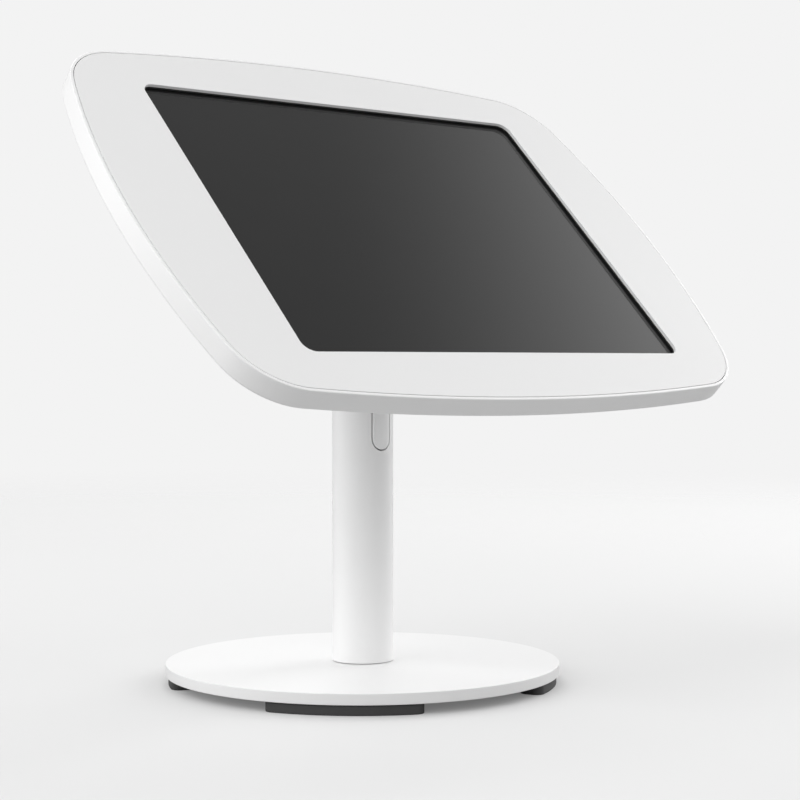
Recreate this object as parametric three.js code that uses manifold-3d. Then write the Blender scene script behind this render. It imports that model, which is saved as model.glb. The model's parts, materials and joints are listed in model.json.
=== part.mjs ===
// Counter-top tablet payment stand: a tilting tablet enclosure on a swivelling tube and a round base plate.
// Millimetres, +Z up, the screen faces -Y. The origin is the centre of the base, on the table.
import * as THREE from "three";
import { mergeVertices } from "three/addons/utils/BufferGeometryUtils.js";
import Module from "manifold-3d";

const wasm = await Module();
wasm.setup();

// ---------------------------------------------------------------- driving dimensions
const GAP = 0.3; // left between fixed pieces that touch on the real object

const base = { radius: 90, bottom: 4.6, top: 9.5, chamfer: 0.5 };
const foot = { outer: 88.6, width: 11, sweep: THREE.MathUtils.degToRad(46), corner: 4 };
const boltCover = { radius: 18 };

const tube = { outer: 14, inner: 12, bottom: 9.8, top: 168 };
const slot = { width: 11.2, bottom: 105.9, gap: 0.55 };
const spigot = { radius: 9.7, flange: 11.5, groove: 10, bottom: 9.8, top: 45 };
const stop = { height: 13, lugSweep: THREE.MathUtils.degToRad(20) };
const columnHole = { height: 66, radius: 5, cable: 4 };
const neck = { plugBottom: 112, plugRadius: 11.7, collar: 2.7 };
const neckScrew = { head: 4, height: 2.2, shank: 2, length: 7 };
const neckScrewHeights = { upper: 152, lower: 126 };
const cableGroove = { near: 6.4, far: 11.9, halfWidth: 3 }; // down the right side of the neck's plug

const tilt = THREE.MathUtils.degToRad(45);
const head = { centreY: -37.9, centreZ: 207.8, halfWidth: 151.8, halfHeight: 109.05 };
const bow = { longEdge: 1035, shortEdge: 325, corner: 32.5 }; // radii of the enclosure's outline
const wall = { depth: 9.8, rim: 1.4, side: 2, edge: 0.3 };
const pan = { slope: 12, depth: 16.5, thickness: 1.9 };
const ledge = { top: 1.8, bottom: 4.5, inset: 4.6 };
const plate = { thickness: 1.5 };
const screenWindow = { width: 215.9, height: 163.1, corner: 5.8, shift: 1.2 }; // shift: to the right of centre
const mask = { width: 246, height: 170, top: 1.8, bottom: 2.3 };
const tablet = { width: 250.6, height: 174.1, corner: 9, front: 3.9, back: 11.3, skin: 1.2 };
const glass = { width: 247.6, height: 171.1, corner: 8, front: 2.6, back: 4.6 };
const cradle = { gap: 0.9, thickness: 2.6, front: 5, back: 11.3 };

const hinge = { depth: 30, lug: 9, lugHalf: 5.05, bolt: 4, cheek: 4, washer: 1, cheekRadius: 10 };
const bracket = { width: 60, height: 44, front: 16.8, back: 19.6, screwX: 23, screwV: 15 };
const bracketScrew = { head: 4.2, height: 2.4, shank: 2, length: 6.5 };
const shellHole = { v: -38, radius: 7.7, cable: 5.6 };
const lock = { x: 140, shank: 6, barrel: 4.2, camReach: 11, bossTop: -10, innerEnd: -7.9 };
const button = { length: 10, width: 2.6, depth: 2, proud: 0.4, clearance: 0.25, level: -7.4 };
const buttons = {
  power_button: { edge: "left", along: 68 },
  volume_up_button: { edge: "top", along: -96 },
  volume_down_button: { edge: "top", along: -80 },
};

// ---------------------------------------------------------------- finishes
const finishes = {
  whitePaint: [0xf2f2f1, 0.45, 0],
  paleFaceplate: [0xe9e9e9, 0.5, 0],
  blackMask: [0x0a0a0a, 0.6, 0],
  screenGlass: [0x2e2e2f, 0.12, 0],
  panel: [0x151517, 0.4, 0],
  rubber: [0x2c2c2d, 0.85, 0],
  foam: [0x3a3a3c, 0.95, 0],
  steel: [0xa9adb1, 0.35, 1],
  brass: [0xc0a060, 0.35, 1],
  aluminium: [0xc4c6c8, 0.4, 1],
  bearingPlastic: [0xd9d6c8, 0.5, 0],
  blackPlastic: [0x1c1c1e, 0.5, 0],
  board: [0x1d4a2e, 0.55, 0],
};

function finish(name) {
  const [color, roughness, metalness] = finishes[name];
  return new THREE.MeshStandardMaterial({ color, roughness, metalness });
}

// ---------------------------------------------------------------- solids
function toSolid(geometry) {
  const bare = geometry.clone();
  bare.deleteAttribute("normal");
  bare.deleteAttribute("uv");
  const merged = mergeVertices(bare, 1e-4);
  const vertProperties = new Float32Array(merged.attributes.position.array);
  const triVerts = new Uint32Array(merged.index.array);
  return new wasm.Manifold(new wasm.Mesh({ numProp: 3, vertProperties, triVerts }));
}

function toGeometry(solid) {
  const mesh = solid.getMesh();
  const geometry = new THREE.BufferGeometry();
  geometry.setAttribute("position", new THREE.BufferAttribute(new Float32Array(mesh.vertProperties), 3));
  geometry.setIndex(new THREE.BufferAttribute(new Uint32Array(mesh.triVerts), 1));
  return geometry;
}

function join(...solids) {
  return solids.reduce((whole, piece) => whole.add(piece));
}

function cut(body, ...tools) {
  return tools.reduce((rest, tool) => rest.subtract(tool), body);
}

// A profile of [radius, height] pairs turned about Z, listed anticlockwise.
function turned(profile, segments) {
  const points = profile.map(([r, z]) => new THREE.Vector2(r, z));
  const closed = profile[0][0] > 0 ? [...points, points[0]] : points;
  return toSolid(new THREE.LatheGeometry(closed, segments).rotateX(Math.PI / 2));
}

function disc(radius, low, high, segments) {
  return turned([[0, low], [radius, low], [radius, high], [0, high]], segments);
}

function ring(inner, outer, low, high, segments) {
  return turned([[inner, low], [outer, low], [outer, high], [inner, high]], segments);
}

function extruded(shape, low, high, curveSegments = 6) {
  const settings = { depth: high - low, bevelEnabled: false, curveSegments };
  return toSolid(new THREE.ExtrudeGeometry(shape, settings).translate(0, 0, low));
}

// A slab with sloping or rounded edges: shape is its smallest outline, and the edge grows out by size.
function bevelled(shape, low, high, size, rise, bevelSegments) {
  const settings = {
    depth: high - low - 2 * rise,
    bevelThickness: rise,
    bevelSize: size,
    bevelSegments,
    curveSegments: 6,
  };
  return toSolid(new THREE.ExtrudeGeometry(shape, settings).translate(0, 0, low + rise));
}

function moved(solid, x, y, z) {
  return solid.translate([x, y, z]);
}

// Turns a solid's +Z axis to point along +X, -X, +Y or -Y.
const turns = { "+X": [0, 90, 0], "-X": [0, -90, 0], "+Y": [-90, 0, 0], "-Y": [90, 0, 0] };
function facing(solid, direction) {
  return solid.rotate(turns[direction]);
}

function box(x0, x1, y0, y1, z0, z1) {
  const block = new THREE.BoxGeometry(x1 - x0, y1 - y0, z1 - z0);
  return toSolid(block.translate((x0 + x1) / 2, (y0 + y1) / 2, (z0 + z1) / 2));
}

// ---------------------------------------------------------------- outlines
function roundedRectangle(width, height, radius) {
  const shape = new THREE.Shape();
  const x = width / 2 - radius;
  const y = height / 2 - radius;
  shape.moveTo(width / 2, -y);
  shape.lineTo(width / 2, y);
  shape.absarc(x, y, radius, 0, Math.PI / 2);
  shape.lineTo(-x, height / 2);
  shape.absarc(-x, y, radius, Math.PI / 2, Math.PI);
  shape.lineTo(-width / 2, -y);
  shape.absarc(-x, -y, radius, Math.PI, 1.5 * Math.PI);
  shape.lineTo(x, -height / 2);
  shape.absarc(x, -y, radius, 1.5 * Math.PI, 2 * Math.PI);
  return cleaned(shape, 3);
}

// The points of a shape, without the doubles where one curve hands over to the next.
function cleaned(shape, divisions) {
  const points = [];
  for (const point of shape.getPoints(divisions)) {
    if (!points.length || point.distanceTo(points.at(-1)) > 1e-3) points.push(point);
  }
  if (points[0].distanceTo(points.at(-1)) < 1e-3) points.pop();
  return new THREE.Shape(points);
}

// The enclosure's outline, drawn in by inset: four shallow arcs joined by round corners.
function enclosure(inset) {
  const long = bow.longEdge - inset;
  const short = bow.shortEdge - inset;
  const corner = bow.corner - inset;
  const longCentre = new THREE.Vector2(0, head.halfHeight - bow.longEdge);
  const shortCentre = new THREE.Vector2(head.halfWidth - bow.shortEdge, 0);
  const toLong = long - corner;
  const toShort = short - corner;
  const apart = longCentre.distanceTo(shortCentre);
  const along = (toLong ** 2 - toShort ** 2 + apart ** 2) / (2 * apart);
  const aside = Math.sqrt(toLong ** 2 - along ** 2);
  const direction = shortCentre.clone().sub(longCentre).normalize();
  const centre = new THREE.Vector2(
    longCentre.x + direction.x * along + direction.y * aside,
    longCentre.y + direction.y * along - direction.x * aside,
  );
  const steep = centre.clone().sub(longCentre).angle();
  const flat = centre.clone().sub(shortCentre).angle();
  const shape = new THREE.Shape();
  shape.absarc(shortCentre.x, 0, short, -flat, flat);
  shape.absarc(centre.x, centre.y, corner, flat, steep);
  shape.absarc(0, longCentre.y, long, steep, Math.PI - steep);
  shape.absarc(-centre.x, centre.y, corner, Math.PI - steep, Math.PI - flat);
  shape.absarc(-shortCentre.x, 0, short, Math.PI - flat, Math.PI + flat);
  shape.absarc(-centre.x, -centre.y, corner, Math.PI + flat, Math.PI + steep);
  shape.absarc(0, -longCentre.y, long, Math.PI + steep, 2 * Math.PI - steep);
  shape.absarc(centre.x, -centre.y, corner, 2 * Math.PI - steep, 2 * Math.PI - flat);
  return cleaned(shape, 4);
}

// A slot or tongue outline that starts with a round end at the bottom, drawn in X and Z (as X and Y).
function pill(width, bottom, top) {
  const shape = new THREE.Shape();
  const radius = width / 2;
  shape.moveTo(radius, bottom + radius);
  shape.lineTo(radius, top);
  shape.lineTo(-radius, top);
  shape.lineTo(-radius, bottom + radius);
  shape.absarc(0, bottom + radius, radius, Math.PI, 2 * Math.PI);
  return cleaned(shape, 8);
}

function arcStrip(outer, inner, sweep, corner) {
  const shape = new THREE.Shape();
  const trimOuter = corner / outer;
  const trimInner = corner / inner;
  const half = sweep / 2;
  const end = (radius, angle) => [radius * Math.cos(angle), radius * Math.sin(angle)];
  shape.absarc(0, 0, outer, -half + trimOuter, half - trimOuter);
  shape.quadraticCurveTo(...end(outer, half), ...end(outer - corner, half));
  shape.lineTo(...end(inner + corner, half));
  shape.quadraticCurveTo(...end(inner, half), ...end(inner, half - trimInner));
  shape.absarc(0, 0, inner, half - trimInner, -half + trimInner, true);
  shape.quadraticCurveTo(...end(inner, -half), ...end(inner + corner, -half));
  shape.lineTo(...end(outer - corner, -half));
  shape.quadraticCurveTo(...end(outer, -half), ...end(outer, -half + trimOuter));
  return cleaned(shape, 5);
}

// ---------------------------------------------------------------- fasteners
// A screw along +Z with its head's outer face at 0 and its shank below, and a hexagon socket in the head.
function socketScrew({ head: headRadius, height, shank, length }) {
  const body = turned(
    [[0, -height - length], [shank, -height - length], [shank, -height], [headRadius, -height],
      [headRadius, -height * 0.3], [headRadius * 0.85, 0], [0, 0]],
    16,
  );
  return cut(body, disc(shank * 0.75, -height * 0.6, 1, 6));
}

function countersunkScrew({ head: headRadius, height, shank, length }) {
  const body = turned(
    [[0, -height - length], [shank, -height - length], [shank, -height], [headRadius, 0], [0, 0]],
    16,
  );
  return cut(body, disc(shank * 0.75, -height * 0.7, 1, 6));
}

// ---------------------------------------------------------------- scene
const stand = new THREE.Group();
const headGroup = new THREE.Group();
headGroup.position.set(0, head.centreY, head.centreZ);
headGroup.rotation.x = tilt;
stand.add(headGroup);

function place(group, name, solid, finishName) {
  const mesh = new THREE.Mesh(toGeometry(solid), finish(finishName));
  mesh.name = name;
  group.add(mesh);
}

// ---------------------------------------------------------------- base
function basePlate() {
  const { radius, bottom, top, chamfer } = base;
  const hole = 4.4;
  const countersink = 8.6;
  const land = 0.7; // left straight above the countersink
  return turned(
    [[countersink, bottom], [radius - chamfer, bottom], [radius, bottom + chamfer], [radius, top - chamfer],
      [radius - chamfer, top], [hole, top], [hole, top - land]],
    64,
  );
}

function footPad(angle) {
  const strip = arcStrip(foot.outer, foot.outer - foot.width, foot.sweep, foot.corner);
  return extruded(strip, 0, base.bottom - GAP, 5).rotate([0, 0, angle]);
}

// The post that the column turns on, threaded from both ends, with a groove that the stop screw runs in.
function spigotPost() {
  const { radius, flange, groove, bottom, top } = spigot;
  const shoulder = bottom + 6.2;
  const grooveHalf = 1.8;
  const lowThread = { radius: 4.2, depth: 16 };
  const topThread = { radius: 2.7, depth: 11 };
  const grooveLow = stop.height - grooveHalf;
  const grooveHigh = stop.height + grooveHalf;
  const post = turned(
    [[0, bottom + lowThread.depth], [lowThread.radius, bottom + lowThread.depth], [lowThread.radius, bottom],
      [flange, bottom], [flange, grooveLow], [groove, grooveLow], [groove, grooveHigh], [flange, grooveHigh],
      [flange, shoulder], [radius, shoulder], [radius, top], [topThread.radius, top],
      [topThread.radius, top - topThread.depth], [0, top - topThread.depth]],
    24,
  );
  const strip = arcStrip(flange, groove - 1, stop.lugSweep, 0.2);
  const lug = extruded(strip, grooveLow - 0.2, grooveHigh + 0.2, 3).rotate([0, 0, -90]);
  return join(post, lug);
}

function buildBase(group) {
  place(group, "base_plate", basePlate(), "whitePaint");
  const feet = { front_right: -45, rear_right: 45, rear_left: 135, front_left: -135 };
  for (const [corner, angle] of Object.entries(feet)) {
    place(group, `foot_pad_${corner}`, footPad(angle), "rubber");
  }
  place(group, "bolt_cover", disc(boltCover.radius, 0, base.bottom - GAP, 28), "rubber");
  const bolt = countersunkScrew({ head: 8, height: 4, shank: 3.9, length: 15.5 });
  place(group, "spigot_bolt", moved(bolt.rotate([180, 0, 0]), 0, 0, base.bottom + 0.2), "steel");
  place(group, "spigot", spigotPost(), "steel");
  place(group, "thrust_washer", ring(10, spigot.flange, 16.1, 16.9, 24), "bearingPlastic");
  place(group, "retaining_washer", ring(3, 11.3, spigot.top + 0.1, spigot.top + 2.1, 24), "steel");
  const screw = socketScrew({ head: 4.6, height: 3, shank: 2.4, length: 11 });
  place(group, "retaining_screw", moved(screw, 0, 0, spigot.top + 5.3), "steel");
}

// ---------------------------------------------------------------- column
function columnTube() {
  const body = ring(tube.inner, tube.outer, tube.bottom, tube.top, 48);
  const opening = facing(extruded(pill(slot.width, slot.bottom, tube.top + 5), 0, 20, 8), "-Y");
  const grommetHole = moved(facing(disc(columnHole.radius, 0, 10, 16), "+Y"), 0, 8, columnHole.height);
  const stopHole = moved(facing(disc(2, 0, 10, 16), "+Y"), 0, 8, stop.height);
  const seats = Object.values(neckScrewHeights).map((height) =>
    moved(facing(screwSeat(neckScrew), "+Y"), 0, tube.outer, height));
  return cut(body, opening, grommetHole, stopHole, ...seats);
}

// The hole and countersink that a screw along +Z needs in a wall whose face is at 0.
function screwSeat({ head: headRadius, height, shank }) {
  const hole = shank + GAP;
  const rim = headRadius + 0.4;
  const through = 6;
  return turned(
    [[0, -through], [hole, -through], [hole, 0.2 - height], [rim, GAP], [rim, through], [0, through]],
    20,
  );
}

// The neck: a plug inside the tube, a tongue that fills the tube's front slot, a collar on the tube's
// rim, and a cranked arm up to the hinge lug behind the enclosure's centre.
const hingeY = head.centreY + hinge.depth * Math.sin(tilt);
const hingeZ = head.centreZ - hinge.depth * Math.cos(tilt);

function neckBracket() {
  const collarTop = tube.top + GAP + neck.collar;
  const plug = disc(neck.plugRadius, neck.plugBottom, tube.top + 1, 48);
  const collar = disc(tube.outer, tube.top + GAP, collarTop, 48);
  const tongueWidth = slot.width - 2 * slot.gap;
  const strip = facing(extruded(pill(tongueWidth, slot.bottom + slot.gap, tube.top + 1), 8, 20, 8), "-Y");
  const tongue = strip.intersect(disc(tube.outer, 90, tube.top + 2, 48));
  const side = new THREE.Shape();
  side.moveTo(4, tube.top);
  side.lineTo(4, collarTop + 1);
  side.quadraticCurveTo(2, hingeZ - 6, hingeY + 4, hingeZ + 8);
  side.lineTo(hingeY - 8.5, hingeZ);
  side.quadraticCurveTo(-13, hingeZ - 10, -12.5, tube.top);
  const arm = crosswise(cleaned(side, 8), hinge.lugHalf);
  const lug = moved(facing(disc(hinge.lug, -hinge.lugHalf, hinge.lugHalf, 28), "+X"), 0, hingeY, hingeZ);
  const bore = moved(facing(disc(hinge.bolt + 0.2, -10, 10, 24), "+X"), 0, hingeY, hingeZ);
  const { near, far, halfWidth } = cableGroove;
  const groove = box(near, far, -halfWidth, halfWidth, neck.plugBottom - 5, collarTop + 5);
  const threads = Object.values(neckScrewHeights).map((height) =>
    moved(facing(disc(2.3, 0, 8, 16), "+Y"), 0, 4.5, height));
  return cut(join(plug, collar, tongue, arm, lug), bore, groove, ...threads);
}

// A shape drawn in Y and Z, made half as thick each side of the middle as half says.
function crosswise(shape, half) {
  return extruded(shape, -half, half).rotate([90, 0, 0]).rotate([0, 0, 90]);
}

function columnGrommet() {
  const { cable, radius, height } = columnHole;
  const sleeve = radius - GAP;
  const flange = radius + 1.4;
  const profile = [[cable, 0], [sleeve, 0], [sleeve, 2.6], [flange, 2.6], [flange, 3.8], [cable, 3.8]];
  return moved(facing(turned(profile, 16), "+Y"), 0, tube.outer - 2.2, height);
}

function buildColumn(group) {
  place(group, "column_tube", columnTube(), "whitePaint");
  const bush = ring(spigot.radius + 0.2, tube.inner - GAP, 17, spigot.top - 0.2, 24);
  place(group, "swivel_bush", bush, "bearingPlastic");
  const stopScrew = socketScrew({ head: 1.7, height: 1, shank: 1.6, length: 1.9 });
  place(group, "stop_screw", moved(facing(stopScrew, "+Y"), 0, tube.outer - 0.2, stop.height), "steel");
  place(group, "neck_bracket", neckBracket(), "whitePaint");
  for (const [name, height] of Object.entries(neckScrewHeights)) {
    const screw = moved(facing(countersunkScrew(neckScrew), "+Y"), 0, tube.outer - 0.1, height);
    place(group, `neck_screw_${name}`, screw, "steel");
  }
  place(group, "column_grommet", columnGrommet(), "rubber");
  for (const [name, side] of [["left", -1], ["right", 1]]) {
    const near = hinge.lugHalf + 0.2;
    const washer = facing(ring(hinge.bolt + 0.3, 8.5, near, near + hinge.washer, 20), side < 0 ? "-X" : "+X");
    place(group, `friction_washer_${name}`, moved(washer, 0, hingeY, hingeZ), "brass");
  }
}

// ---------------------------------------------------------------- head: hinge side
const cheekInner = hinge.lugHalf + hinge.washer + 0.4;
const cheekOuter = cheekInner + hinge.cheek;

function headBracket() {
  const flat = extruded(roundedRectangle(bracket.width, bracket.height, 6), -bracket.back, -bracket.front);
  const rootHalf = 15; // half the length that a cheek is welded along
  const side = new THREE.Shape();
  side.moveTo(-rootHalf, 1 - bracket.back);
  side.lineTo(-hinge.cheekRadius, -hinge.depth);
  side.absarc(0, -hinge.depth, hinge.cheekRadius, Math.PI, 2 * Math.PI);
  side.lineTo(rootHalf, 1 - bracket.back);
  const outline = cleaned(side, 8);
  const cheeks = [-1, 1].map((sign) => {
    const centre = (sign * (cheekInner + cheekOuter)) / 2;
    return moved(crosswise(outline, hinge.cheek / 2), centre, 0, 0);
  });
  const bore = moved(facing(disc(hinge.bolt + 0.2, -20, 20, 24), "+X"), 0, 0, -hinge.depth);
  return cut(join(flat, ...cheeks), bore, ...screwHoles(2.4));
}

function screwHoles(radius) {
  return bracketCorners().map(([x, v]) => moved(disc(radius, -25, -8, 16), x, v, 0));
}

function bracketCorners() {
  const { screwX, screwV } = bracket;
  return [[-screwX, -screwV], [screwX, -screwV], [screwX, screwV], [-screwX, screwV]];
}

function buildHinge(group) {
  place(group, "head_bracket", headBracket(), "whitePaint");
  bracketCorners().forEach(([x, v], index) => {
    const screw = socketScrew(bracketScrew).rotate([180, 0, 0]);
    const seated = moved(screw, x, v, -bracket.back - 0.2 - bracketScrew.height);
    place(group, `bracket_screw_${index + 1}`, seated, "steel");
  });
  const boltHead = 4.5;
  const boltLength = 2 * cheekOuter + 9;
  const bolt = socketScrew({ head: 6.5, height: boltHead, shank: hinge.bolt, length: boltLength });
  const start = -cheekOuter - GAP - boltHead;
  place(group, "hinge_bolt", moved(facing(bolt, "-X"), start, 0, -hinge.depth), "steel");
  const spring = turned([[4.4, 0.9], [8.2, 0], [8.2, 0.8], [4.4, 1.7]], 20);
  const springX = cheekOuter + 0.2;
  place(group, "hinge_spring", moved(facing(spring, "+X"), springX, 0, -hinge.depth), "steel");
  const nut = cut(disc(7.5, 0, 5.5, 6), disc(hinge.bolt + 0.2, -1, 7, 24));
  place(group, "hinge_nut", moved(facing(nut, "+X"), springX + 2, 0, -hinge.depth), "steel");
}

// ---------------------------------------------------------------- head: enclosure
function rearShell() {
  const { depth, edge, side, rim } = wall;
  const slab = bevelled(enclosure(edge), -depth, 0, edge, edge, 1);
  const tray = bevelled(enclosure(pan.slope + 1), -pan.depth, -2.1, pan.slope, pan.depth - depth, 1);
  const recess = extruded(enclosure(rim), -ledge.top, 1);
  const throat = extruded(enclosure(ledge.inset), -ledge.bottom - 1, -ledge.top + 1);
  const room = extruded(enclosure(side), -depth + 0.1, -ledge.bottom);
  const floorDepth = pan.depth - pan.thickness;
  const slopeRise = floorDepth - depth + 0.3;
  const floor = bevelled(enclosure(side + pan.slope + 0.5), -floorDepth, -4, pan.slope, slopeRise, 1);
  const grommetHole = moved(disc(shellHole.radius, -20, -10, 20), 0, shellHole.v, 0);
  const boss = moved(disc(9.4, -pan.depth, lock.bossTop, 24), lock.x, 0, 0);
  const lockHole = moved(disc(lock.shank + 0.3, -20, -5, 24), lock.x, 0, 0);
  const hollow = cut(join(slab, tray), recess, throat, room, floor);
  return cut(join(hollow, boss), lockHole, grommetHole, ...screwHoles(2.3));
}

function shellGrommet() {
  const { cable, radius, v } = shellHole;
  const outer = -pan.depth - 0.2;
  const inner = -pan.depth + pan.thickness + 0.2;
  const sleeve = radius - GAP;
  const flange = radius + 1.6;
  const lip = 0.9;
  const profile = [[cable, outer - lip], [flange, outer - lip], [flange, outer], [sleeve, outer],
    [sleeve, inner], [flange, inner], [flange, inner + lip], [cable, inner + lip]];
  return moved(turned(profile, 20), 0, v, 0);
}

function windowCutter() {
  const { width, height, corner, shift } = screenWindow;
  return moved(extruded(roundedRectangle(width, height, corner), -5, 2), shift, 0, 0);
}

function faceplate() {
  return cut(extruded(enclosure(wall.rim + GAP), -plate.thickness, 0), windowCutter());
}

function maskFrame() {
  const body = extruded(roundedRectangle(mask.width, mask.height, 8), -mask.bottom, -mask.top);
  return cut(body, windowCutter());
}

// Where the enclosure's short edge lies at a height v up the plate.
function shortEdgeX(v) {
  return head.halfWidth - bow.shortEdge + Math.sqrt(bow.shortEdge ** 2 - v ** 2);
}

// A hook on the back of the faceplate that reaches under the shell's ledge.
function faceplateTab(centreV) {
  const half = 6;
  const edgeX = shortEdgeX(Math.abs(centreV) + half);
  const legX = -(edgeX - ledge.inset - GAP);
  const toeX = -(edgeX - wall.side - 0.4);
  const top = -plate.thickness - GAP;
  const low = -ledge.bottom - GAP - 1.4;
  const leg = box(legX, legX + 1.5, centreV - half, centreV + half, low, top);
  const toe = box(toeX, legX + 1.5, centreV - half, centreV + half, low, low + 1.4);
  return join(leg, toe);
}

// The catch hangs from the faceplate, and its foot lies behind the lock's cam.
function faceplateCatch() {
  const half = 3.5;
  const top = -plate.thickness - GAP;
  const leg = box(lock.x - half, lock.x + half, 12, 13.8, -9.6, top);
  const footStep = box(lock.x - half, lock.x + half, 8.9, 12.5, -9.6, -7.9);
  return join(leg, footStep);
}

function buildEnclosure(group) {
  place(group, "rear_shell", rearShell(), "whitePaint");
  place(group, "shell_grommet", shellGrommet(), "rubber");
  place(group, "faceplate", faceplate(), "paleFaceplate");
  place(group, "mask_frame", maskFrame(), "blackMask");
  place(group, "faceplate_tab_upper", faceplateTab(36), "steel");
  place(group, "faceplate_tab_lower", faceplateTab(-36), "steel");
  place(group, "faceplate_catch", faceplateCatch(), "steel");
}

// ---------------------------------------------------------------- head: tablet
// A button that points out of the tablet's edge; grow makes the same shape into its hole's tool.
function edgeButton({ edge, along }, grow) {
  const { length, width, depth, proud } = button;
  const shape = roundedRectangle(length + 2 * grow, width + 2 * grow, width / 2 - 0.01 + grow);
  const inside = proud - depth - 4 * grow;
  const body = extruded(shape, inside, proud + 4 * grow);
  if (edge === "left") {
    return moved(body.rotate([0, 0, 90]).rotate([0, -90, 0]), -tablet.width / 2, along, button.level);
  }
  return moved(body.rotate([-90, 0, 0]), along, tablet.height / 2, button.level);
}

function tabletBody() {
  const { width, height, corner, front, back, skin } = tablet;
  const body = extruded(roundedRectangle(width, height, corner), -back, -front);
  const hollow = roundedRectangle(width - 2 * skin, height - 2 * skin, corner - skin);
  const holes = Object.values(buttons).map((where) => edgeButton(where, button.clearance));
  return cut(body, extruded(hollow, -back + skin, 0), ...holes);
}

function cradleFrame() {
  const innerWidth = tablet.width + 2 * cradle.gap;
  const innerHeight = tablet.height + 2 * cradle.gap;
  const wide = 2 * cradle.thickness;
  const outer = roundedRectangle(innerWidth + wide, innerHeight + wide, tablet.corner + 3);
  const inner = roundedRectangle(innerWidth, innerHeight, tablet.corner);
  return cut(extruded(outer, -cradle.back, -cradle.front), extruded(inner, -20, 0));
}

function slabPart(width, height, corner, x, v, back, front) {
  return moved(extruded(roundedRectangle(width, height, corner), back, front), x, v, 0);
}

function buildTablet(group) {
  place(group, "tablet_body", tabletBody(), "aluminium");
  const cover = roundedRectangle(glass.width, glass.height, glass.corner);
  place(group, "display_glass", extruded(cover, -glass.back, -glass.front), "screenGlass");
  place(group, "display_panel", slabPart(236, 164, 3, 0, 0, -6.5, -4.9), "panel");
  place(group, "battery", slabPart(168, 128, 4, 24, 0, -9.8, -6.9), "blackPlastic");
  place(group, "main_board", slabPart(34, 150, 2, -92, -4, -9.8, -8.4), "board");
  place(group, "cradle_frame", cradleFrame(), "blackPlastic");
  const padBack = -(pan.depth - pan.thickness) + GAP;
  [[-92, -58], [92, -58], [92, 58], [-92, 58]].forEach(([x, v], index) => {
    const pad = slabPart(30, 20, 3, x, v, padBack, -tablet.back - GAP);
    place(group, `tablet_pad_${index + 1}`, pad, "foam");
  });
  for (const [name, where] of Object.entries(buttons)) {
    place(group, name, edgeButton(where, 0), "aluminium");
  }
}

// ---------------------------------------------------------------- head: lock
function lockBody() {
  const face = -pan.depth - 1.8;
  const flange = -pan.depth - GAP;
  const bore = lock.barrel + 0.15;
  const { shank, innerEnd } = lock;
  const rim = 8;
  const profile = [[bore, face], [rim, face], [rim, flange], [shank, flange], [shank, innerEnd],
    [bore, innerEnd]];
  return turned(profile, 24);
}

function lockBarrel() {
  const face = -pan.depth - 1.6;
  const tip = 2; // the narrow end that carries the cam
  const profile = [[0, face], [lock.barrel, face], [lock.barrel, lock.innerEnd], [tip, lock.innerEnd],
    [tip, lock.innerEnd + 2], [0, lock.innerEnd + 2]];
  const keyway = box(-0.5, 0.5, -2.8, 2.8, face - 1, face + 4);
  return cut(turned(profile, 24), keyway);
}

function lockCam() {
  const shape = new THREE.Shape();
  const reach = lock.camReach - 3.5;
  shape.absarc(0, 0, 4.6, Math.PI, 2 * Math.PI);
  shape.lineTo(3.5, reach);
  shape.absarc(0, reach, 3.5, 0, Math.PI);
  return cut(extruded(cleaned(shape, 6), -7.6, -6.2), disc(2.1, -9, -5, 20));
}

function buildLock(group) {
  const seated = (solid) => moved(solid, lock.x, 0, 0);
  place(group, "lock_body", seated(lockBody()), "steel");
  const nut = cut(disc(8.1, lock.bossTop + 0.2, lock.innerEnd - GAP, 6), disc(lock.shank + 0.2, -12, -5, 24));
  place(group, "lock_nut", seated(nut), "steel");
  place(group, "lock_barrel", seated(lockBarrel()), "brass");
  place(group, "lock_cam", seated(lockCam()), "steel");
}

// ---------------------------------------------------------------- assembly
buildBase(stand);
buildColumn(stand);
buildHinge(headGroup);
buildEnclosure(headGroup);
buildTablet(headGroup);
buildLock(headGroup);

export default stand;
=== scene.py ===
# %% [markdown]
# # A counter-top tablet payment stand
# The stand is a round steel base on four rubber feet, a plain tube that turns on it, and a tablet
# enclosure that tilts on a friction hinge. Its structure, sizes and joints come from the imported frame.
# This lesson dresses that frame: it remakes the pieces that are seen with true curves and softened
# edges, and gives every piece, seen or hidden, a finish of its own.

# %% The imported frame
import json
import math

import bmesh
import bpy
from mathutils import Matrix, Vector


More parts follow.
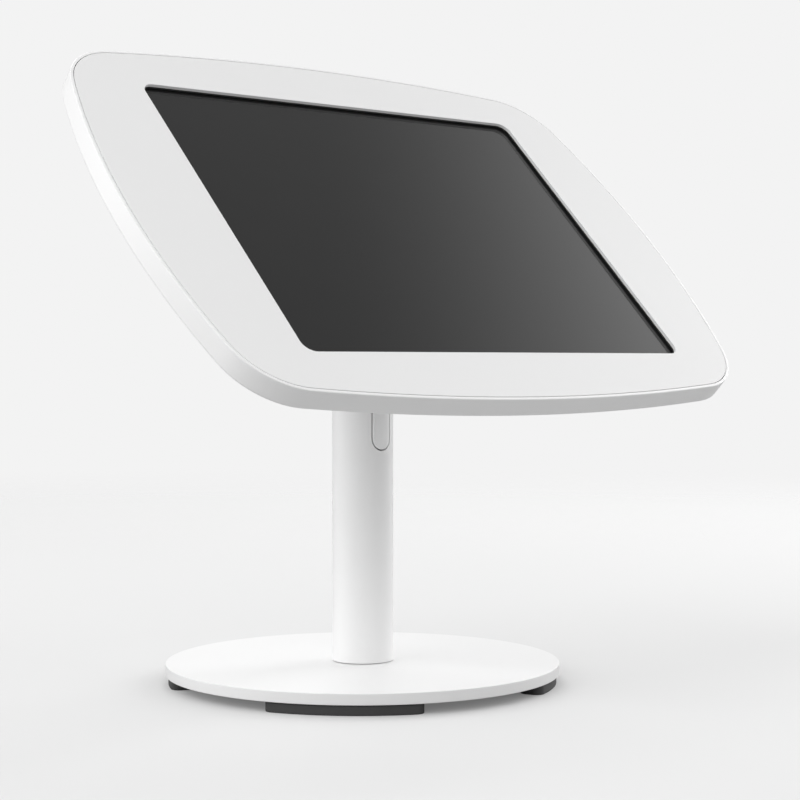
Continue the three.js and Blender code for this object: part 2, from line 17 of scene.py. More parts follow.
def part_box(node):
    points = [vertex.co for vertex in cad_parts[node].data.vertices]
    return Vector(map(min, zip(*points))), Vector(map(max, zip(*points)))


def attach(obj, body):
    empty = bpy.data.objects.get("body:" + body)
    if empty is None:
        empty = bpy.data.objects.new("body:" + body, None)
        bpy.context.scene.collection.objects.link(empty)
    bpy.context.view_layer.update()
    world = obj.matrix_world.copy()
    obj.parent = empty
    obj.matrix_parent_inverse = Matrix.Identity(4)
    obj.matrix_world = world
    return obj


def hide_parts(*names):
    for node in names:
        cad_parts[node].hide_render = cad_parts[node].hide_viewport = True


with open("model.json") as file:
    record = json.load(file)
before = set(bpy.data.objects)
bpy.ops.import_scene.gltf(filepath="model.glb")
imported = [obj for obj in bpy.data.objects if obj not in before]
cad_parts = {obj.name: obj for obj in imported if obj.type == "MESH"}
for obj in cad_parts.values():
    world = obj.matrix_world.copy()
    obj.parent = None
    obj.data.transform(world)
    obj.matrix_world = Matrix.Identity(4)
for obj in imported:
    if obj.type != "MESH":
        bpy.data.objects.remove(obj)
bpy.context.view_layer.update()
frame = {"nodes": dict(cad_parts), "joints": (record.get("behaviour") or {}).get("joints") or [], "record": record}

# %% [markdown]
# ## Two drawing boards
# Every piece is drawn in millimetres. The base and column are drawn upright, as they stand. The head
# is drawn lying flat with its face up, because that is how its maker would draw it, and one matrix
# then leans it back. The matrix is worked out from the faceplate's middle in the frame and a given
# tilt of 45 degrees.

# %% Boards for the stand and the head
MM = 0.001
TILT = math.radians(45)
PLATE_THICKNESS = 1.5

stand_board = Matrix.Scale(MM, 4)
face_low, face_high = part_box("faceplate")
face_normal = Vector((0, -math.sin(TILT), math.cos(TILT)))
face_centre = (face_low + face_high) / 2 + face_normal * PLATE_THICKNESS / 2 * MM
lean = Matrix.Rotation(TILT, 4, "X")
head_board = Matrix.Translation(face_centre) @ lean @ Matrix.Scale(MM, 4)

joints = {joint["name"]: joint for joint in frame["joints"]}
hinge_axis = head_board.inverted() @ Vector(joints["head_tilt"]["pos_m"])
HINGE_DEPTH = -hinge_axis.z
print("the hinge lies", round(HINGE_DEPTH, 2), "mm behind the face")

# %% [markdown]
# ## Shader maths that reads as sums
# A procedural finish is a small calculation, and a tangle of Math nodes hides it. One class wraps a
# socket, so that `rough + (cloud - 0.5) * 0.1` adds the nodes by itself, and another holds the
# material and makes any other node in one call: its type, its settings, then its inputs.

# %% Sockets with arithmetic
class Flow:
    """A value that runs from one node to the next."""

    def __init__(self, recipe, socket):
        self.recipe = recipe
        self.socket = socket

    def _maths(self, operation, left, right):
        return self.recipe.node("ShaderNodeMath", {"operation": operation}, {0: left, 1: right})

    def __add__(self, other):
        return self._maths("ADD", self, other)

    def __radd__(self, other):
        return self._maths("ADD", other, self)

    def __sub__(self, other):
        return self._maths("SUBTRACT", self, other)

    def __rsub__(self, other):
        return self._maths("SUBTRACT", other, self)

    def __mul__(self, other):
        return self._maths("MULTIPLY", self, other)

    def __rmul__(self, other):
        return self._maths("MULTIPLY", other, self)


# %% A material and its nodes
class Recipe:
    """One finish: a material with a Principled shader, and the nodes that feed it."""

    def __init__(self, name):
        self.material = bpy.data.materials.new(name)
        self.material.use_nodes = True
        self.tree = self.material.node_tree
        self.shader = self.tree.nodes["Principled BSDF"]
        self.place = self.node("ShaderNodeTexCoord", output="Object")

    def node(self, kind, settings=None, inputs=None, output=0):
        made = self.tree.nodes.new(kind)
        for name, value in (settings or {}).items():
            setattr(made, name, value)
        for name, value in (inputs or {}).items():
            self.feed(made.inputs[name], value)
        return Flow(self, made.outputs[output])

    def feed(self, socket, value):
        if isinstance(value, Flow):
            self.tree.links.new(value.socket, socket)
        else:
            socket.default_value = value

    def set(self, **values):
        for name, value in values.items():
            self.feed(self.shader.inputs[name.replace("_", " ")], value)

    def noise(self, per_metre, detail=2, vector=None):
        inputs = {"Vector": vector or self.place, "Scale": per_metre, "Detail": detail}
        return self.node("ShaderNodeTexNoise", None, inputs, "Fac")

    def stretched(self, factors):
        return self.node("ShaderNodeMapping", None, {"Vector": self.place, "Scale": factors})

    def colours(self, factor, dark, light):
        # a Mix node's sockets share their names, so they are told apart by number
        factor_in, dark_in, light_in, colour_out = 0, 6, 7, 2
        inputs = {factor_in: factor, dark_in: (*dark, 1), light_in: (*light, 1)}
        return self.node("ShaderNodeMix", {"data_type": "RGBA"}, inputs, colour_out)

    def bump(self, height, depth, under=None):
        """Relief of a given depth in metres, on top of any relief already made."""
        inputs = {"Height": height, "Distance": depth, "Strength": 1.0}
        if under:
            inputs["Normal"] = under
        return self.node("ShaderNodeBump", None, inputs)


def grey(level):
    return (level, level, level)


def shaded(level, by):
    return tuple(channel * by for channel in level)


# %% [markdown]
# ## Paint, steel and rubber
# Powder coat is sprayed dry and baked, so it flows into a satin skin with a very fine ripple, about a
# millimetre from crest to crest, and its gloss drifts a little from place to place. The ripple is
# only a few thousandths of a millimetre high: it breaks the highlight, but it is never seen as dots.

# %% Powder coat
def powder_coat(name, colour, roughness, ripple_depth=0.000004):
    coat = Recipe(name)
    ripple = coat.noise(850, 1)
    drift = coat.noise(35, 3)
    coat.set(
        Base_Color=coat.colours(drift, shaded(colour, 0.985), colour),
        Roughness=roughness + (drift - 0.5) * 0.08,
        Normal=coat.bump(ripple, ripple_depth),
    )
    coat.set(IOR=1.5)
    return coat.material


# %% [markdown]
# Zinc-plated steel keeps the marks of how it was cut. A turned piece has fine rings about its axis,
# and a sheet has a straight grain, so each kind gets noise stretched its own way.

# %% Plated and plain metals
def metal(name, colour, roughness, grain=(1, 1, 1), grain_per_metre=900, grain_depth=0.000006):
    steel = Recipe(name)
    lines = steel.noise(grain_per_metre, 3, steel.stretched(grain))
    cloud = steel.noise(120, 4)
    steel.set(
        Base_Color=steel.colours(cloud, shaded(colour, 0.88), colour),
        Metallic=1.0,
        Roughness=roughness + (lines - 0.5) * 0.14 + (cloud - 0.5) * 0.1,
        Normal=steel.bump(lines, grain_depth),
    )
    return steel.material


# %% [markdown]
# Moulded rubber and plastic take the texture of a spark-eroded mould: small irregular pits under
# broad, faint patches where the surface was rubbed or dusted.

# %% Moulded rubber, plastic and foam
def moulded(name, colour, roughness, pits_per_metre, pit_depth, patch=0.12):
    skin = Recipe(name)
    pits = skin.node(
        "ShaderNodeTexVoronoi",
        {"feature": "SMOOTH_F1"},
        {"Vector": skin.place, "Scale": pits_per_metre, "Smoothness": 0.6},
        "Distance",
    )
    patches = skin.noise(55, 4)
    skin.set(
        Base_Color=skin.colours(patches, shaded(colour, 1 - patch), shaded(colour, 1 + patch)),
        Roughness=roughness + (patches - 0.5) * 0.12,
        Normal=skin.bump(pits, pit_depth),
    )
    return skin.material


# %% [markdown]
# The screen is switched off. Its cover glass is smooth, with the faint smears that any touch screen
# carries, and what shows through it is the dark panel, so one dark glossy shader does for both.

# %% Screen glass, circuit board and battery wrap
def screen_glass(name):
    pane = Recipe(name)
    smear = pane.noise(28, 5, pane.stretched((1, 2.2, 1)))
    pane.set(
        Base_Color=pane.colours(smear, grey(0.0105), grey(0.0125)),
        Roughness=0.07 + (smear - 0.5) * 0.03,
        IOR=1.5,
    )
    return pane.material


def circuit_board(name):
    board = Recipe(name)
    cells = board.node(
        "ShaderNodeTexVoronoi",
        {"feature": "F1", "distance": "CHEBYCHEV"},
        {"Vector": board.place, "Scale": 260.0},
        "Distance",
    )
    tracks = board.node("ShaderNodeMath", {"operation": "GREATER_THAN"}, {0: cells, 1: 0.42})
    board.set(
        Base_Color=board.colours(tracks, (0.012, 0.075, 0.03), (0.03, 0.14, 0.06)),
        Roughness=0.35 + tracks * 0.2,
        Normal=board.bump(tracks, 0.00003),
    )
    return board.material


# %% The finishes, one for each material slot
WHITE = grey(0.86)
STEEL = (0.56, 0.57, 0.58)
finishes = {
    # the base's paint is drawn a little greyer than the column's white: painted shade for the shadow that the head
    # and column cast on the base top
    "base_paint": powder_coat("base_paint", grey(0.82), 0.42),
    "column_paint": powder_coat("column_paint", WHITE, 0.42),
    "bracket_paint": powder_coat("bracket_paint", grey(0.83), 0.46),
    "shell_paint": powder_coat("shell_paint", WHITE, 0.40),
    "faceplate_paint": powder_coat("faceplate_paint", grey(0.80), 0.55),
    "black_mask": moulded("black_mask", grey(0.018), 0.6, 1500, 0.00001),
    "screen_glass": screen_glass("screen_glass"),
    "display_panel": moulded("display_panel", grey(0.012), 0.35, 3000, 0.000005),
    "foot_rubber": moulded("foot_rubber", grey(0.042), 0.62, 900, 0.00003),
    "grommet_rubber": moulded("grommet_rubber", grey(0.02), 0.55, 1400, 0.00001),
    "turned_steel": metal("turned_steel", STEEL, 0.30, (1, 1, 14)),
    "screw_steel": metal("screw_steel", shaded(STEEL, 0.9), 0.34, (1, 1, 1), 1500),
    "sheet_steel": metal("sheet_steel", STEEL, 0.36, (1, 12, 12)),
    "lock_chrome": metal("lock_chrome", (0.75, 0.76, 0.77), 0.14, (1, 1, 6), 500, 0.000002),
    "lock_brass": metal("lock_brass", (0.70, 0.60, 0.40), 0.28, (1, 1, 10)),
    "bronze_washer": metal("bronze_washer", (0.62, 0.43, 0.22), 0.36, (1, 1, 1), 1300),
    "bearing_plastic": moulded("bearing_plastic", (0.72, 0.70, 0.62), 0.42, 2200, 0.000008),
    "tablet_aluminium": metal("tablet_aluminium", (0.60, 0.61, 0.62), 0.42, (1, 1, 1), 4200),
    "battery_wrap": moulded("battery_wrap", grey(0.03), 0.38, 500, 0.00002),
    "circuit_board": circuit_board("circuit_board"),
    "black_plastic": moulded("black_plastic", grey(0.028), 0.48, 1800, 0.000012),
    "foam_pad": moulded("foam_pad", grey(0.06), 0.92, 1900, 0.00012),
}
print("finishes", len(finishes))

# %% [markdown]
# ## Outlines
# Flat shapes are drawn as outlines: arcs, round-cornered rectangles and a few shapes of this stand.
# An outline is a list of points that runs once round, and each takes an amount to draw itself in by,
# because a softened edge needs the same outline twice, a little apart.

# %% Arcs, circles and rectangles
def arc(x, y, radius, start, end, steps):
    angles = [start + (end - start) * step / steps for step in range(steps + 1)]
    return [(x + radius * math.cos(a), y + radius * math.sin(a)) for a in angles]


def circle(radius, segments=48, x=0, y=0):
    return arc(x, y, radius, 0, math.tau, segments)[:-1]


def rectangle(width, height, corner, steps=8, x=0, y=0):
    across, up = width / 2 - corner, height / 2 - corner
    points = []
    for turn, (side_x, side_y) in enumerate([(1, 1), (-1, 1), (-1, -1), (1, -1)]):
        start = turn * math.pi / 2
        points += arc(x + side_x * across, y + side_y * up, corner, start, start + math.pi / 2, steps)
    return points


def hexagon(radius, per_side):
    corners = circle(radius, 6)
    points = []
    for (x0, y0), (x1, y1) in zip(corners, corners[1:] + corners[:1]):
        steps = [step / per_side for step in range(per_side)]
        points += [(x0 + (x1 - x0) * t, y0 + (y1 - y0) * t) for t in steps]
    return points


def curve(start, pull, end, steps):
    """A curve from start to end that leans towards pull."""
    a, b, c = Vector(start), Vector(pull), Vector(end)
    ways = [step / steps for step in range(steps + 1)]
    return [tuple(a * (1 - t) ** 2 + b * 2 * t * (1 - t) + c * t**2) for t in ways]


# %% [markdown]
# The enclosure's outline is four shallow bows joined by round corners. Each bow is part of a big
# circle, and the corner's circle touches both, so its centre lies where two smaller circles cross.

# %% The enclosure's outline
HEAD_HALF = Vector((151.8, 109.05))
LONG_BOW, SHORT_BOW, CORNER = 1035, 325, 32.5
BOW_STEPS, CORNER_STEPS = 48, 20


def enclosure(inset):
    long_bow, short_bow, corner = LONG_BOW - inset, SHORT_BOW - inset, CORNER - inset
    long_centre = Vector((0, HEAD_HALF.y - LONG_BOW))
    short_centre = Vector((HEAD_HALF.x - SHORT_BOW, 0))
    to_long, to_short = long_bow - corner, short_bow - corner
    apart = (short_centre - long_centre).length
    along = (to_long**2 - to_short**2 + apart**2) / (2 * apart)
    aside = math.sqrt(to_long**2 - along**2)
    way = (short_centre - long_centre) / apart
    centre = long_centre + way * along + Vector((way.y, -way.x)) * aside
    steep = math.atan2(centre.y - long_centre.y, centre.x)
    flat = math.atan2(centre.y, centre.x - short_centre.x)
    bow_step = (steep - math.pi / 2) / BOW_STEPS
    side_step = flat / BOW_STEPS
    quarter = arc(short_centre.x, 0, short_bow, 0, flat - side_step, BOW_STEPS // 2)
    quarter += arc(*centre, corner, flat, steep, CORNER_STEPS)
    quarter += arc(0, long_centre.y, long_bow, steep - bow_step, math.pi / 2, BOW_STEPS // 2)
    half = quarter + [(-x, y) for x, y in reversed(quarter[:-1])]
    return half + [(x, -y) for x, y in reversed(half[1:-1])]


# %% [markdown]
# ## Solids from outlines
# A ring of edges is bridged to the next one, and the ends are filled. Two things keep the softened
# edges clean: a narrow flat land is laid beside each edge before the bevel, so that the bevel only
# ever meets neat four-sided faces, and the flat with its holes is filled last.

# %% Rings and bridges
def ring(bm, outline, height):
    verts = [bm.verts.new((x, y, height)) for x, y in outline]
    for near, far in zip(verts, verts[1:] + verts[:1]):
        bm.edges.new((near, far))
    return verts


def edges_within(verts):
    inside = set(verts)
    return list({edge for vert in verts for edge in vert.link_edges if edge.other_vert(vert) in inside})


def bridge(bm, *rings):
    """Walls from each ring to the next. The rings have equally many corners, in the same order."""
    for near, far in zip(rings, rings[1:]):
        pairs = list(zip(near, far))
        for (one, two), (four, three) in zip(pairs, pairs[1:] + pairs[:1]):
            bm.faces.new((one, four, three, two))
    bm.normal_update()


def bevel(bm, edges, radius, segments=3):
    bmesh.ops.bevel(
        bm, geom=edges, offset=radius, offset_type="OFFSET", segments=segments,
        profile=0.5, affect="EDGES", material=-1, clamp_overlap=True,
    )


def soften(bm, radius, segments=3, sharper_than=35):
    """Rounds every edge sharper than so many degrees."""
    bmesh.ops.recalc_face_normals(bm, faces=bm.faces)
    limit = math.radians(sharper_than)
    sharp = [edge for edge in bm.edges if edge.is_manifold and edge.calc_face_angle() > limit]
    bevel(bm, sharp, radius, segments)


# %% Slabs with softened edges and holes
def slab(bm, outlines, low, high, radius, segments=3):
    """A flat piece. Each outline is a function of how far from its edge; the first is the outside."""
    land = radius * 2
    lands = {low: [], high: []}
    corners = []
    for outline in outlines:
        low_land, low_wall = ring(bm, outline(land), low), ring(bm, outline(0), low)
        high_wall, high_land = ring(bm, outline(0), high), ring(bm, outline(land), high)
        bridge(bm, low_land, low_wall, high_wall, high_land)
        corners += edges_within(low_wall) + edges_within(high_wall)
        lands[low] += edges_within(low_land)
        lands[high] += edges_within(high_land)
    bevel(bm, corners, radius, segments)
    for edges in lands.values():
        bmesh.ops.triangle_fill(bm, use_beauty=True, use_dissolve=False, edges=edges)


def prism(bm, outline, low, high, radius, segments=3):
    """An outline pulled up from low to high, with all its edges rounded."""
    own = bmesh.new()
    bottom, top = ring(own, outline, low), ring(own, outline, high)
    bridge(own, bottom, top)
    bmesh.ops.contextual_create(own, geom=edges_within(bottom))
    bmesh.ops.contextual_create(own, geom=edges_within(top))
    soften(own, radius, segments)
    add_to(bm, own)


def add_to(bm, own, matrix=None):
    """Adds a finished part to the piece it belongs to."""
    mesh = bpy.data.meshes.new("part")
    own.to_mesh(mesh)
    own.free()
    if matrix:
        mesh.transform(matrix)
    bm.from_mesh(mesh)
    bpy.data.meshes.remove(mesh)


# %% Turned solids
def turned(profile, radius, segments=96, rounding=3):
    """A profile of (distance from the axis, height) pairs spun about Z, its corners rounded."""
    bm = bmesh.new()
    verts = [bm.verts.new((out, 0, up)) for out, up in profile]
    pairs = list(zip(verts, verts[1:]))
    if profile[0][0] > 0:
        pairs.append((verts[-1], verts[0]))
    edges = [bm.edges.new(pair) for pair in pairs]
    bmesh.ops.spin(
        bm, geom=verts + edges, cent=(0, 0, 0), axis=(0, 0, 1),
        angle=math.tau, steps=segments, use_merge=True,
    )
    bmesh.ops.remove_doubles(bm, verts=bm.verts, dist=0.001)
    soften(bm, radius, rounding)
    return bm


# %% [markdown]
# ## Finishing a piece
# Every piece goes through the same last steps: it is moved from its board to its real place, doubles
# are merged, its faces are turned outwards, it is given its finish and its body, and the frame nodes
# that it stands for are hidden. Face-weighted normals keep the flats flat right up to the rounded edges.

# %% The last steps of every piece
SMOOTH_BELOW = math.radians(38)
made_pieces = {}


def finished(name, bm, board, body, slot, *nodes):
    bm.transform(board)
    bmesh.ops.remove_doubles(bm, verts=bm.verts, dist=0.002 * MM)
    bmesh.ops.recalc_face_normals(bm, faces=bm.faces)
    mesh = bpy.data.meshes.new(name)
    bm.to_mesh(mesh)
    bm.free()
    mesh.shade_smooth()
    mesh.set_sharp_from_angle(angle=SMOOTH_BELOW)
    mesh.materials.append(finishes[slot])
    piece = bpy.data.objects.new(name, mesh)
    bpy.context.scene.collection.objects.link(piece)
    weights = piece.modifiers.new("flats stay flat", "WEIGHTED_NORMAL")
    weights.keep_sharp = True
    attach(piece, body)
    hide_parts(*nodes)
    made_pieces[name] = piece
    print(name, len(mesh.polygons), "faces")


# %% [markdown]
# ## The base
# The plate is a disc cut from 5 mm steel, so its edge is square with just the sharpness taken off.
# A deep countersink underneath takes the bolt that holds the spigot. It is a turned shape.

# %% Base plate
BASE_RADIUS, BASE_LOW, BASE_HIGH = 90, 4.6, 9.5
BOLT_HOLE, COUNTERSINK, HOLE_LAND = 4.4, 8.6, 0.7
plate_profile = [
    (COUNTERSINK, BASE_LOW), (BASE_RADIUS, BASE_LOW), (BASE_RADIUS, BASE_HIGH),
    (BOLT_HOLE, BASE_HIGH), (BOLT_HOLE, BASE_HIGH - HOLE_LAND),
]
finished(
    "base_disc", turned(plate_profile, 0.4, 192), stand_board, "base", "base_paint", "base_plate"
)

# %% [markdown]
# Each foot is a strip of rubber bent to the plate's edge, with rounded ends. One outline drawn round
# the middle serves for all four, turned to its own corner.

# %% Rubber feet
FOOT_OUTER, FOOT_WIDTH, FOOT_CORNER = 88.6, 11, 4
FOOT_HALF_SWEEP = math.radians(23)
FOOT_TOP = 4.3
FOOT_EDGE = 0.45


def foot_outline(inset):
    outer, inner = FOOT_OUTER - inset, FOOT_OUTER - FOOT_WIDTH + inset
    corner = FOOT_CORNER - inset
    half = FOOT_HALF_SWEEP - inset / outer
    out_centre, in_centre = outer - corner, inner + corner
    out_angle = half - math.asin(corner / out_centre)
    in_angle = half - math.asin(corner / in_centre)
    square = half + math.pi / 2
    out_x, out_y = out_centre * math.cos(out_angle), out_centre * math.sin(out_angle)
    in_x, in_y = in_centre * math.cos(in_angle), in_centre * math.sin(in_angle)
    end = arc(out_x, out_y, corner, out_angle, square, 10)
    end += arc(in_x, in_y, corner, square, in_angle + math.pi, 10)
    inside = arc(0, 0, inner, in_angle, -in_angle, 36)[1:-1]
    outside = arc(0, 0, outer, -out_angle, out_angle, 40)[1:-1]
    return end + inside + [(x, -y) for x, y in reversed(end)] + outside


feet = {"front_right": -45, "rear_right": 45, "rear_left": 135, "front_left": -135}
for corner_name, degrees in feet.items():
    bm = bmesh.new()
    slab(bm, [foot_outline], 0, FOOT_TOP, FOOT_EDGE)
    bm.transform(Matrix.Rotation(math.radians(degrees), 4, "Z"))
    finished(
        f"rubber_foot_{corner_name}", bm, stand_board, "base", "foot_rubber",
        f"foot_pad_{corner_name}",
    )

# %% [markdown]
# A rubber disc covers the bolt under the plate. Its lower face has two grip rings, made by stepping
# the turned profile in and out by half a millimetre.

# %% Bolt cover
COVER_RADIUS, GRIP_DEPTH = 18, 0.5
cover_profile = [
    (0, GRIP_DEPTH), (6, GRIP_DEPTH), (6, 0), (9, 0), (9, GRIP_DEPTH), (12, GRIP_DEPTH), (12, 0),
    (COVER_RADIUS, 0), (COVER_RADIUS, FOOT_TOP), (0, FOOT_TOP),
]
finished(
    "bolt_cover_disc", turned(cover_profile, 0.2, 72), stand_board, "base", "foot_rubber", "bolt_cover"
)

# %% [markdown]
# ## The column
# The tube has a round-ended slot in front and three holes behind. Cutting holes in a round wall
# leaves ragged shading, so the wall is made as a sheet is: flat, with its holes punched, then rolled
# up. The sheet is a grid whose lines are slid to where they are wanted, and each hole is bridged to
# the square that is cut for it.

# %% A flat sheet with movable grid lines
def spaced(*stops):
    """Grid lines from (place, cells up to the next place) pairs; the last has no cells."""
    lines = []
    for (start, cells), (end, _) in zip(stops, stops[1:]):
        lines += [start + (end - start) * cell / cells for cell in range(cells)]
    return lines + [stops[-1][0]]


def sheet(columns, rows):
    bm = bmesh.new()
    across, up = len(columns) - 1, len(rows) - 1
    bmesh.ops.create_grid(bm, x_segments=across, y_segments=up, size=0.5)
    for vert in bm.verts:
        column = columns[round((vert.co.x + 0.5) * across)]
        vert.co = (column, 0, rows[round((vert.co.y + 0.5) * up)])
    return bm


def upright_ring(bm, outline):
    verts = ring(bm, outline, 0)
    for vert in verts:
        vert.co = (vert.co.x, 0, vert.co.y)
    return verts


def remove_cells(bm, left, right, bottom, top):
    middles = [(face, face.calc_center_median()) for face in bm.faces]
    cells = [face for face, at in middles if left < at.x < right and bottom < at.z < top]
    bmesh.ops.delete(bm, geom=cells, context="FACES")


def border(bm, left, right, bottom, top):
    """The open edges that lie on a rectangle's sides."""
    slack = 0.01
    on_it = [
        vert for vert in bm.verts
        if left - slack < vert.co.x < right + slack and bottom - slack < vert.co.z < top + slack
    ]
    return [edge for edge in edges_within(on_it) if edge.is_boundary]


def punch(bm, x, z, half_wide, half_high, hole, segments):
    box = (x - half_wide, x + half_wide, z - half_high, z + half_high)
    remove_cells(bm, *box)
    square = border(bm, *box)
    cut = upright_ring(bm, circle(hole, segments, x, z))
    bmesh.ops.bridge_loops(bm, edges=square + edges_within(cut))


def rolled(bm, radius):
    """Rolls a sheet round Z: x is measured along the wall, and 0 comes to the front."""
    for vert in bm.verts:
        angle = vert.co.x / radius
        vert.co = (radius * math.sin(angle), -radius * math.cos(angle), vert.co.z)
    bmesh.ops.remove_doubles(bm, verts=bm.verts, dist=0.002)
    bmesh.ops.recalc_face_normals(bm, faces=bm.faces)


# %% The tube
TUBE_RADIUS, TUBE_WALL, TUBE_LOW, TUBE_HIGH = 14, 2, 9.8, 168
SLOT_HALF, SLOT_BOTTOM = 5.6, 105.9
SLOT_CENTRE = SLOT_BOTTOM + SLOT_HALF
SLOT_MARGIN = 1.8
CABLE_HOLE, CABLE_HEIGHT = 5, 66
SCREW_SEAT, SCREW_HEIGHTS = 4.4, (126, 152)
STOP_HOLE, STOP_HEIGHT = 2, 13
QUARTER = TUBE_RADIUS * math.pi / 2
HOLE_BOX, STOP_BOX = 5.9, 2.4
REAR = 2 * QUARTER


def tube():
    wide = SLOT_HALF + SLOT_MARGIN
    low = SLOT_BOTTOM - SLOT_MARGIN
    columns = spaced((-QUARTER, 10), (-wide, 1), (-SLOT_HALF, 10), (SLOT_HALF, 1), (wide, 22),
                     (REAR - HOLE_BOX, 8), (REAR + HOLE_BOX, 12), (3 * QUARTER, 0))
    first, second = SCREW_HEIGHTS
    rows = spaced((TUBE_LOW, 1), (STOP_HEIGHT - STOP_BOX, 4), (STOP_HEIGHT + STOP_BOX, 9),
                  (CABLE_HEIGHT - HOLE_BOX, 8), (CABLE_HEIGHT + HOLE_BOX, 6), (low, 6),
                  (SLOT_CENTRE, 2), (first - HOLE_BOX, 8), (first + HOLE_BOX, 3),
                  (second - HOLE_BOX, 8), (second + HOLE_BOX, 2), (TUBE_HIGH, 0))
    bm = sheet(columns, rows)
    remove_cells(bm, -SLOT_HALF, SLOT_HALF, SLOT_CENTRE, TUBE_HIGH)
    remove_cells(bm, -wide, wide, low, SLOT_CENTRE)
    around = [edge for edge in border(bm, -wide, wide, low, SLOT_CENTRE)
              if max(vert.co.z for vert in edge.verts) < SLOT_CENTRE + 0.01
              and not all(abs(vert.co.z - SLOT_CENTRE) < 0.01 for vert in edge.verts)]
    end = arc(0, SLOT_CENTRE, SLOT_HALF, math.pi, math.tau, len(around))
    verts = [bm.verts.new((x, 0, z)) for x, z in end]
    edges = [bm.edges.new(pair) for pair in zip(verts, verts[1:])]
    bmesh.ops.bridge_loops(bm, edges=around + edges)
    bmesh.ops.remove_doubles(bm, verts=bm.verts, dist=0.002)
    for height in SCREW_HEIGHTS:
        punch(bm, REAR, height, HOLE_BOX, HOLE_BOX, SCREW_SEAT, 32)
    punch(bm, REAR, CABLE_HEIGHT, HOLE_BOX, HOLE_BOX, CABLE_HOLE, 32)
    punch(bm, REAR, STOP_HEIGHT, HOLE_BOX / 2, STOP_BOX, STOP_HOLE, 16)
    rolled(bm, TUBE_RADIUS)
    bmesh.ops.solidify(bm, geom=bm.faces[:], thickness=TUBE_WALL)
    soften(bm, 0.3, 3, 55)
    return bm


tube_mesh = tube()
radii = [math.hypot(vert.co.x, vert.co.y) for vert in tube_mesh.verts]
print("tube wall from", round(min(radii), 2), "to", round(max(radii), 2))
finished("swivel_tube", tube_mesh, stand_board, "column", "column_paint", "column_tube")

# %% [markdown]
# ## The neck
# The neck plugs into the tube and carries the hinge. Its tongue fills the tube's slot, so the tongue
# is made as the tube was: a flat strip with a round end, rolled to the tube's own radius. The plug
# has a groove down one side for the power lead, and the collar has a window over it.

# %% Tongue, plug and collar
SLOT_GAP = 0.55
PLUG_RADIUS, PLUG_LOW = 11.7, 112
COLLAR_LOW, COLLAR_HIGH = 168.3, 171
GROOVE_NEAR, GROOVE_FAR, GROOVE_HALF = 6.4, 11.9, 3


def tongue():
    half = SLOT_HALF - SLOT_GAP
    bm = sheet(spaced((-half, 10), (half, 0)), spaced((SLOT_CENTRE, 14), (COLLAR_LOW + 0.5, 0)))
    foot = border(bm, -half, half, SLOT_CENTRE, SLOT_CENTRE)
    end = arc(0, SLOT_CENTRE, half, math.pi, math.tau, len(foot))
    verts = [bm.verts.new((x, 0, z)) for x, z in end]
    edges = [bm.edges.new(pair) for pair in zip(verts, verts[1:])]
    bmesh.ops.bridge_loops(bm, edges=foot + edges)
    rolled(bm, TUBE_RADIUS)
    bmesh.ops.dissolve_degenerate(bm, edges=bm.edges[:], dist=0.001)
    bmesh.ops.solidify(bm, geom=bm.faces[:], thickness=3)
    soften(bm, 0.35, 3, 55)
    return bm


def plug_outline():
    mouth = math.asin(GROOVE_HALF / PLUG_RADIUS)
    return arc(0, 0, PLUG_RADIUS, mouth, math.tau - mouth, 60) + [
        (GROOVE_NEAR, -GROOVE_HALF), (GROOVE_NEAR, GROOVE_HALF)]


def collar_window(grow):
    middle = (GROOVE_NEAR + GROOVE_FAR) / 2
    wide, high = GROOVE_FAR - GROOVE_NEAR + 2 * grow, 2 * (GROOVE_HALF + grow)
    return rectangle(wide, high, 1 + grow, 5, middle, 0)


# %% The cranked arm and its lug
hinge_at = Vector(joints["head_tilt"]["pos_m"]) / MM
LUG_RADIUS, LUG_HALF = 9, 5.05
CROSSWISE = Matrix(((0, 0, 1, 0), (1, 0, 0, 0), (0, 1, 0, 0), (0, 0, 0, 1)))


def arm_outline():
    y, z = hinge_at.y, hinge_at.z
    front_foot, rear_foot = -12.5, 4
    rear_top = math.radians(55)
    lug = arc(y, z, LUG_RADIUS, rear_top, math.pi, 22)
    rear = curve((rear_foot, COLLAR_HIGH + 0.7), (2, z - 6), lug[0], 12)
    front = curve(lug[-1], (-13, z - 10), (front_foot, COLLAR_LOW + 0.3), 12)
    return [(rear_foot, COLLAR_LOW + 0.3)] + rear[:-1] + lug + front[1:]


neck = tongue()
prism(neck, plug_outline(), PLUG_LOW, COLLAR_LOW + 0.4, 0.3)
slab(neck, [lambda inset: circle(TUBE_RADIUS - inset, 96), collar_window], COLLAR_LOW, COLLAR_HIGH, 0.4)
arm = bmesh.new()
prism(arm, arm_outline(), -LUG_HALF, LUG_HALF, 0.7, 4)
add_to(neck, arm, CROSSWISE)
finished("neck_and_tongue", neck, stand_board, "column", "column_paint", "neck_bracket")

# %% [markdown]
# ## Screws
# A socket screw is a stack of rings: the rim of its head, the underside, the shank and the tip, with
# a six-sided ring inside the rim for the key. Bridging a round ring to a hexagon with as many points
# gives the recessed socket without any cutting.

# %% Headed pieces with a key recess
TURNS = {
    "+X": Matrix.Rotation(math.radians(90), 4, "Y"),
    "-X": Matrix.Rotation(math.radians(-90), 4, "Y"),
    "+Y": Matrix.Rotation(math.radians(-90), 4, "X"),
    "-Z": Matrix.Rotation(math.radians(180), 4, "X"),
}


def at(x, y, z):
    return Matrix.Translation((x, y, z))


